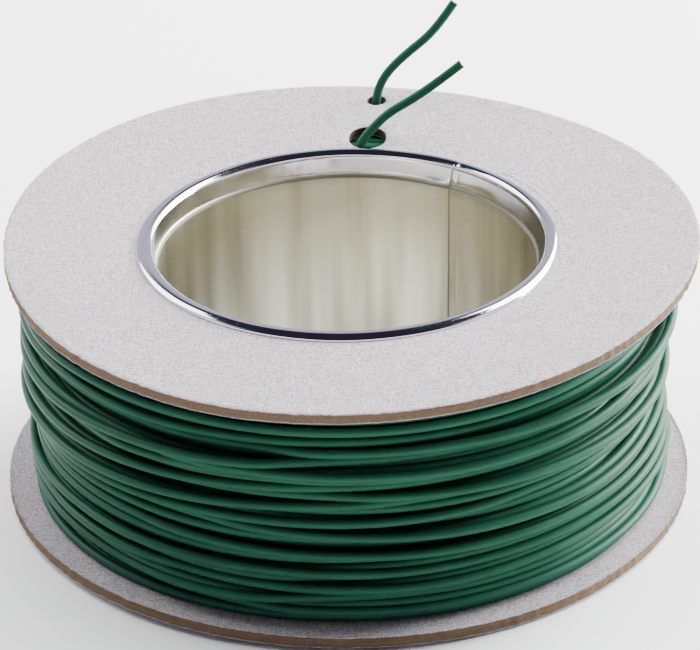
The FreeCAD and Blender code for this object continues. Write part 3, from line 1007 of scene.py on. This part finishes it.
def wind(settings, outer):
    """The wire's whole path from the core to the outermost turn, as heights and radii.

    Turn by turn, the guide moves on by about one pitch, more past a hump and less past a
    hollow, and turns back at each flange. The wire is laid, slides and is pulled tight over
    the wires below. Each turn is worked out a little past its end, so that the next one
    follows on. Winding stops at the top flange, once the last layer's mean radius is within
    one wire of the outer one.
    """
    spacing = 0.985 * settings.diameter
    half = settings.diameter / 2
    count = SLICES + LOOK_AHEAD
    angle = np.arange(count) / SLICES * 2 * math.pi
    low = BOTTOM_INNER_FACE + half
    high = TOP_INNER_FACE - half
    stray = guide_stray(600, settings).ravel()
    smoother = stiff_smoother(count, settings.stiffness)
    heights = []
    radii = []
    held = None
    start_radius = core_radius(np.array(MIDDLE), half)
    last_radius = np.full(SLICES, start_radius)
    bins = np.linspace(low, high, 64)
    filled = np.full(len(bins), start_radius)
    guide = low
    way = 1
    for turn in range(len(stray) // SLICES - 1):
        next_bin = np.argmin(np.abs(bins - (guide + way * settings.pitch)))
        hump = (filled[next_bin] - np.median(filled)) / settings.diameter
        step = settings.pitch * np.clip(1 + 0.6 * hump, 0.7, 1.6)
        begin = turn * SLICES
        wanted = guide + way * step * np.arange(count) / SLICES + stray[begin:begin + count]
        guide = guide + way * step
        if not low + 0.35 * settings.pitch < guide < high + 0.4 * half:
            way = -way
        mean_radius = np.full(count, last_radius.mean())
        at_back = bump(angle_from(angle, math.pi / 2), 0, 0.6)
        raised = warp(TOP_WARP, angle, mean_radius) * (1 - 0.75 * at_back)
        limits = (low + warp(BOTTOM_WARP, angle, mean_radius), high + raised)
        below_heights = np.array(heights[-80:]) if heights else np.full((1, SLICES), -1.0)
        below_radii = np.array(radii[-80:]) if heights else np.full((1, SLICES), 0.0)
        guess = np.clip(wanted[:SLICES], limits[0][:SLICES], limits[1][:SLICES])
        below = (onwards(below_heights, guess), onwards(below_radii, last_radius))
        height = lay_turn(wanted, below, limits, held, smoother, spacing, half)
        resting = resting_radius(height, *below, spacing, half)
        below = (onwards(below_heights, height[:SLICES]), onwards(below_radii, resting[:SLICES]))
        resting = resting_radius(height, *below, spacing, half)
        tight = pulled_tight(np.concatenate([last_radius[-LOOK_AHEAD:], resting]), last_radius.mean())
        kernel = np.hanning(11)
        tight = np.convolve(np.pad(tight, 5, mode="edge"), kernel / kernel.sum(), mode="valid")
        radius = tight[LOOK_AHEAD:LOOK_AHEAD + SLICES]
        covered = np.clip((outer - radius.mean()) / settings.diameter - 1.6, 0.12, 1)
        even = np.median(filled) + 0.5 * settings.diameter
        radius = radius + (even - radius) * settings.pressing * covered
        if turn:
            fade = np.clip(1 - np.arange(SLICES) / 30, 0, 1) ** 2
            radius = radius + (last_radius[-1] - radius[0]) * fade
        height = height[:SLICES]
        heights.append(height)
        radii.append(radius)
        near = np.abs(bins - height.mean()) < 0.6 * settings.diameter
        filled[near] = np.maximum(filled[near], radius.mean())
        held = height[-1] + (height[-1] - height[-2]) * np.array([1.0, 2.0])
        last_radius = radius
        nearly_full = len(radii) > 24 and np.mean(radii[-22:]) >= outer - settings.diameter
        if nearly_full and height.mean() > high - 0.6 * settings.pitch:
            break
    return np.array(heights), np.array(radii)


def lead_out(heights, radii, count):
    """The end of the wire after its last whole turn: it goes on over the last turn and climbs
    smoothly to the place where the outer free end begins."""
    end_x, end_y, _ = OUTER_TAIL_ROUTE[0]
    share = np.arange(1, count + 1) / count
    eased = share ** 2 * (3 - 2 * share)
    height = heights[-1, -1] + (WINDING_TOP - 1.0 * MM - heights[-1, -1]) * eased
    rest = radii[-1, :count] + 1.1 * MM * np.sin(math.pi * share)
    radius = rest + (math.hypot(end_x, end_y) * MM - rest) * eased
    start = np.clip(1 - np.arange(count) / 18, 0, 1) ** 2
    return height, radius + (radii[-1, -1] - radius[0]) * start


def path_points(height, radius, begin, step):
    """Centre points and outward directions along a stretch of the wire that begins at a slice."""
    slices = np.arange(0, len(height), step)
    angle = (begin + slices) / SLICES * 2 * math.pi
    outwards = np.stack([np.cos(angle), np.sin(angle), np.zeros(len(angle))], axis=-1)
    points = outwards * radius[slices, None]
    points[:, 0] += WINDING_OFFSET * np.clip((radius[slices] - 60 * MM) / (30 * MM), 0, 1)
    points[:, 2] = height[slices]
    return points, outwards


def build_winding(material):
    """All the wound wire as tubes of about a layer each, the covered layers with fewer faces.

    Where a turn stands more than 1.5 mm past the winding's radius, it keeps 0.4 of the excess.
    """
    settings = bpy.context.scene.reel_wire
    half = settings.diameter / 2
    heights, radii = wind(settings, WINDING_RADIUS - half - 0.5 * MM)
    most = WINDING_RADIUS + 1.5 * MM - half
    radii = np.where(radii > most, most + 0.4 * (radii - most), radii)
    turns = len(heights)
    end_angle = math.degrees(math.atan2(OUTER_TAIL_ROUTE[0][1], OUTER_TAIL_ROUTE[0][0]))
    last_height, last_radius = lead_out(heights, radii, round(end_angle * SLICES / 360))
    per_layer = 21
    shown_from = turns - 5 * per_layer
    length = 0.0
    for number, first in enumerate(range(0, turns, per_layer), start=1):
        last = min(first + per_layer, turns)
        shown = last > shown_from
        next_height, next_radius = last_height, last_radius
        if last < turns:
            next_height, next_radius = heights[last, :1], radii[last, :1]
        height = np.concatenate([heights[first:last].ravel(), next_height])
        radius = np.concatenate([radii[first:last].ravel(), next_radius])
        points, outwards = path_points(height, radius, first * SLICES, 2 if shown else 6)
        length += np.linalg.norm(np.diff(points, axis=0), axis=1).sum()
        mesh_points, quads, caps = tube(points, half, 16 if shown else 6, outwards)
        piece(f"wound_wire_{number:02d}", mesh_points, quads, material,
              ["wire_winding"], caps)
    print(f"winding: {turns} turns, {length:.1f} m of wire, outer radius "
          f"{(radii[-20:].mean() + half) / MM:.2f} mm, most {(radii.max() + half) / MM:.2f} mm")


class REEL_OT_winding(bpy.types.Operator):
    """Wind the wire on the core, turn by turn"""
    bl_idname = "reel.winding"
    bl_label = "Winding"

    def execute(self, context):
        build_winding(insulation_material())
        return {"FINISHED"}


# ---------------------------------------------------------------------------------------
# The wire's free ends
# ---------------------------------------------------------------------------------------

def end_axes(route):
    """The point and direction in which a route ends, and two directions square to it."""
    tip = np.array(route[-1])
    along = tip - np.array(route[-2])
    along /= np.linalg.norm(along)
    first = np.cross(along, [0.0, 0.0, 1.0])
    first /= np.linalg.norm(first)
    return tip, along, first, np.cross(along, first)


def lathe(profile, sides, tip, along, first, second):
    """A profile of (distance along, radius) turned about an end's axis, as points and quads."""
    turn = np.arange(sides) / sides * 2 * math.pi
    ring = np.cos(turn)[:, None] * first + np.sin(turn)[:, None] * second
    points = tip + profile[:, 0, None, None] * along + profile[:, 1, None, None] * ring
    return points.reshape(-1, 3), grid_quads(len(profile), sides)


def build_cut_face(name, route, material):
    """The insulation's cut end: a ring with a soft outer edge and a hollow for the strands."""
    settings = bpy.context.scene.reel_wire
    outer = settings.diameter / 2
    inner = settings.conductor / 2 + 0.05 * MM
    profile = np.array([
        [-0.25 * MM, outer], [0.02 * MM, outer * 1.005], [0.10 * MM, outer * 0.985],
        [0.14 * MM, outer * 0.93], [0.13 * MM, inner * 1.3], [0.10 * MM, inner], [-0.25 * MM, inner]])
    sides = 32
    points, _ = lathe(profile, sides, *end_axes(route))
    closed = np.concatenate([np.arange(len(points)), np.arange(sides)])
    quads = closed[grid_quads(len(profile) + 1, sides)]
    return piece(f"{name}_cut_face", points, quads, material)


def build_strands(name, route, material):
    """The conductor's cut end: a bundle of strands in rings of one, six and twelve."""
    settings = bpy.context.scene.reel_wire
    tip, along, first, second = end_axes(route)
    strand = settings.conductor / 10
    random = np.random.default_rng(len(name))
    sides = 8
    strands = []
    for ring_number, count in enumerate((1, 6, 12)):
        for number in range(count):
            turn = 2 * math.pi * (number + 0.3 * ring_number) / count
            middle = tip + 2 * strand * ring_number * (math.cos(turn) * first + math.sin(turn) * second)
            reach = (0.12 + random.uniform(-0.03, 0.05)) * MM
            profile = np.array([[-0.2 * MM, strand], [reach - 0.03 * MM, strand], [reach, strand * 0.6]])
            points, quads = lathe(profile, sides, middle, along, first, second)
            ends = [np.arange(sides)[::-1], 2 * sides + np.arange(sides)]
            strands.append((points, quads, ends))
    points, quads, caps = joined(strands)
    return piece(f"{name}_strands", points, quads, material, [f"{name}_conductor"], caps)


def build_free_end(name, route_mm, insulation, copper):
    """One free end of the wire on a smooth spline, with its cut face and strands."""
    settings = bpy.context.scene.reel_wire
    route = [(x * MM, y * MM, WINDING_TOP + rise * MM) for x, y, rise in route_mm]
    curve = bpy.data.curves.new(name, "CURVE")
    curve.dimensions = "3D"
    spline = curve.splines.new("NURBS")
    spline.points.add(len(route) - 1)
    for point, place in zip(spline.points, route):
        point.co = (*place, 1.0)
    spline.order_u = 3
    spline.use_endpoint_u = True
    curve.resolution_u = 12
    curve.bevel_depth = settings.diameter / 2
    curve.bevel_resolution = 6
    curve.use_fill_caps = True
    curve.materials.append(insulation)
    wire = bpy.data.objects.new(name, curve)
    bpy.context.scene.collection.objects.link(wire)
    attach(wire, "root")
    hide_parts(f"{name}_insulation")
    face = build_cut_face(name, route, insulation)
    strands = build_strands(name, route, copper)


class REEL_OT_free_ends(bpy.types.Operator):
    """Build the wire's two free ends"""
    bl_idname = "reel.free_ends"
    bl_label = "Free ends"

    def execute(self, context):
        insulation = insulation_material()
        copper = copper_material()
        build_free_end("outer_tail", OUTER_TAIL_ROUTE, insulation, copper)
        build_free_end("inner_tail", INNER_TAIL_ROUTE, insulation, copper)
        return {"FINISHED"}


# ---------------------------------------------------------------------------------------
# Stage
# ---------------------------------------------------------------------------------------

def add_camera():
    """The camera: a long lens in front of the reel, looking down on it, very slightly rolled."""
    elevation = 0.4947
    distance = 1336.77 * MM
    roll = 0.0195
    target = Vector((1.5 * MM, 0.0, 36.6 * MM))
    backwards = Vector((0.0, -math.cos(elevation), math.sin(elevation)))
    level = Vector((1.0, 0.0, 0.0))
    upright = backwards.cross(level)
    right = math.cos(roll) * level - math.sin(roll) * upright
    up = math.cos(roll) * upright + math.sin(roll) * level
    data = bpy.data.cameras.new("View")
    data.sensor_width = 36.0
    data.lens = 234.93
    data.shift_x = -0.0062
    data.shift_y = 0.0564
    data.clip_end = 20.0
    camera = bpy.data.objects.new("View", data)
    turned = Matrix((right, up, backwards)).transposed().to_4x4()
    camera.matrix_world = Matrix.Translation(target + distance * backwards) @ turned
    bpy.context.scene.collection.objects.link(camera)
    bpy.context.scene.camera = camera


def add_light(name, place, size, power, colour=(1.0, 1.0, 1.0), mirrored=True):
    """A rectangular soft light that faces the reel's middle, and shows in reflections or not."""
    aim = (0.0, 0.0, 0.04)
    data = bpy.data.lights.new(name, "AREA")
    data.shape = "RECTANGLE"
    data.size, data.size_y = size
    data.energy = power
    data.color = colour
    light = bpy.data.objects.new(name, data)
    light.location = place
    light.visible_glossy = mirrored
    light.rotation_euler = (Vector(aim) - Vector(place)).to_track_quat("-Z", "Y").to_euler()
    bpy.context.scene.collection.objects.link(light)


def studio_world():
    """Dim surroundings that light the reel, and others that only its reflections show.

    The mirrored ones are bright, more so in front, with soft dark patches: a narrow one behind
    the reel, a wide one high in front of it, and one overhead.
    """
    world = bpy.data.worlds.new("Studio")
    world.use_nodes = True
    nodes = Nodes(world.node_tree)
    world.node_tree.nodes.clear()
    output = nodes.add("ShaderNodeOutputWorld")
    towards = nodes.add("ShaderNodeTexCoord").outputs["Generated"]
    parts = nodes.add("ShaderNodeSeparateXYZ", {0: towards}).outputs
    aside = nodes.maths("ABSOLUTE", parts["X"])
    beside = nodes.maths("DIVIDE", aside, nodes.maths("MAXIMUM", parts["Y"], 0.02))
    middle = nodes.spread(beside, 0.35, 0.95, 1.0, 0.0)
    above = nodes.spread(parts["Z"], 0.46, 0.60)
    overhead = nodes.spread(parts["Z"], 0.55, 0.75)
    in_front = nodes.maths("MULTIPLY", nodes.spread(parts["Y"], -0.1, -0.35),
                           nodes.spread(parts["Z"], 0.28, 0.42))
    behind = nodes.maths("MULTIPLY", middle, above)
    dark = nodes.maths("MAXIMUM", nodes.maths("MAXIMUM", behind, in_front), overhead)
    glossy = nodes.add("ShaderNodeLightPath").outputs["Is Glossy Ray"]
    lit = nodes.mix(nodes.spread(parts["Y"], -0.9, 0.2), (0.06, 0.06, 0.07, 1.0), (0.46, 0.46, 0.52, 1.0))
    mirrored_sides = nodes.mix(nodes.spread(parts["Y"], -0.3, 0.3),
                               (1.75, 1.75, 1.79, 1.0), (0.66, 0.64, 0.80, 1.0))
    mirrored_world = nodes.mix(dark, mirrored_sides, (0.020, 0.017, 0.034, 1.0))
    colour = nodes.mix(glossy, lit, mirrored_world)
    background = nodes.add("ShaderNodeBackground", {"Color": colour, "Strength": 1.2})
    world.node_tree.links.new(background.outputs[0], output.inputs["Surface"])
    bpy.context.scene.world = world


def add_floor():
    """A plain pale floor under the reel."""
    material, nodes, surface, place = start_material(
        "Pale floor", {"Roughness": 0.6, "Specular IOR Level": 0.2})
    tone = nodes.mix(nodes.noise(place, 3.0, 1.0), (0.95, 0.95, 0.955, 1.0), (0.97, 0.97, 0.975, 1.0))
    connect(nodes, surface, Base_Color=tone)
    half = 4.0
    corners = [(-half, -half, 0), (half, -half, 0), (half, half, 0), (-half, half, 0)]
    mesh = bpy.data.meshes.new("floor")
    mesh.from_pydata(corners, [], [(0, 1, 2, 3)])
    mesh.materials.append(material)
    floor = bpy.data.objects.new("floor", mesh)
    bpy.context.scene.collection.objects.link(floor)


class REEL_OT_stage(bpy.types.Operator):
    """Add the floor, the soft lights and the camera"""
    bl_idname = "reel.stage"
    bl_label = "Stage"

    def execute(self, context):
        add_floor()
        studio_world()
        add_light("Overhead softbox", (0.10, 0.50, 1.60), (1.5, 1.5), 50.0, mirrored=False)
        add_light("Left softbox", (-1.15, 0.78, 0.98), (1.15, 1.15), 32.0)
        add_light("Right softbox", (1.01, 0.91, 0.85), (1.3, 1.3), 96.0, (1.0, 0.99, 0.98))
        add_light("Right strip", (1.48, 0.70, 0.42), (0.9, 0.45), 84.0, (0.94, 0.98, 1.0))
        add_camera()
        return {"FINISHED"}


class REEL_PT_panel(bpy.types.Panel):
    """The reel's settings and the operators that build its pieces."""
    bl_label = "Wire Reel"
    bl_idname = "REEL_PT_panel"
    bl_space_type = "VIEW_3D"
    bl_region_type = "UI"
    bl_category = "Wire Reel"

    def draw(self, context):
        scene = context.scene
        for settings in (scene.reel_wire, scene.reel_flanges, scene.reel_core):
            box = self.layout.box()
            for name in settings.bl_rna.properties.keys():
                if name not in ("rna_type", "name"):
                    box.prop(settings, name)
        for name in OPERATORS:
            self.layout.operator(f"reel.{name}")


# ---------------------------------------------------------------------------------------
# Registration
# ---------------------------------------------------------------------------------------

OPERATORS = ("stage", "free_ends", "flanges", "core", "winding")
SETTINGS = {"reel_wire": ReelWire, "reel_flanges": ReelFlanges, "reel_core": ReelCore}
CLASSES = (ReelWire, ReelFlanges, ReelCore, REEL_OT_stage, REEL_OT_free_ends, REEL_OT_flanges, REEL_OT_core,
           REEL_OT_winding, REEL_PT_panel)


def register():
    for made in CLASSES:
        bpy.utils.register_class(made)
    for name, settings in SETTINGS.items():
        setattr(bpy.types.Scene, name, PointerProperty(type=settings))


def unregister():
    for name in SETTINGS:
        delattr(bpy.types.Scene, name)
    for made in reversed(CLASSES):
        bpy.utils.unregister_class(made)


def main():
    """Build every piece in order."""
    register()
    for name in OPERATORS:
        getattr(bpy.ops.reel, name)()


if __name__ == "__main__":
    main()
